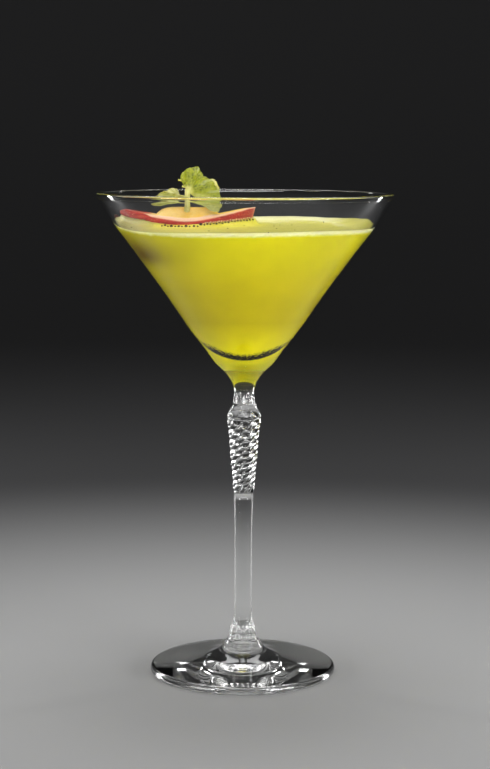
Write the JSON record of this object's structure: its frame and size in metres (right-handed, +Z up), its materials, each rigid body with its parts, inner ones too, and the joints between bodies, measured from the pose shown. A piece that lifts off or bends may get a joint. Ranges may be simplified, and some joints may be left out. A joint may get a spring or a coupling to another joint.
{
  "type": "cocktail",
  "caption": "Yellow-green cocktail in a clear stemmed cone glass with a twisted, faceted stem, topped with a slice of red-skinned fruit and a mint sprig.",
  "frame": {"origin": "centre of the foot's underside", "axes": "+Z up along the stem, -Y towards the side that the picture shows"},
  "size_m": [0.114, 0.114, 0.1988],
  "materials": {
    "glass": "clear polished crystal",
    "drink": "cloudy yellow-green liquid with a pale line of froth at the wall",
    "fruit": "moist red skin and cream to orange flesh",
    "mint": "light green crinkled leaf with a pale stem"
  },
  "bodies": {
    "root": {"glass": "glass", "drink": "drink", "fruit_slice": "fruit", "mint_sprig": "mint"}
  },
  "joints": []
}
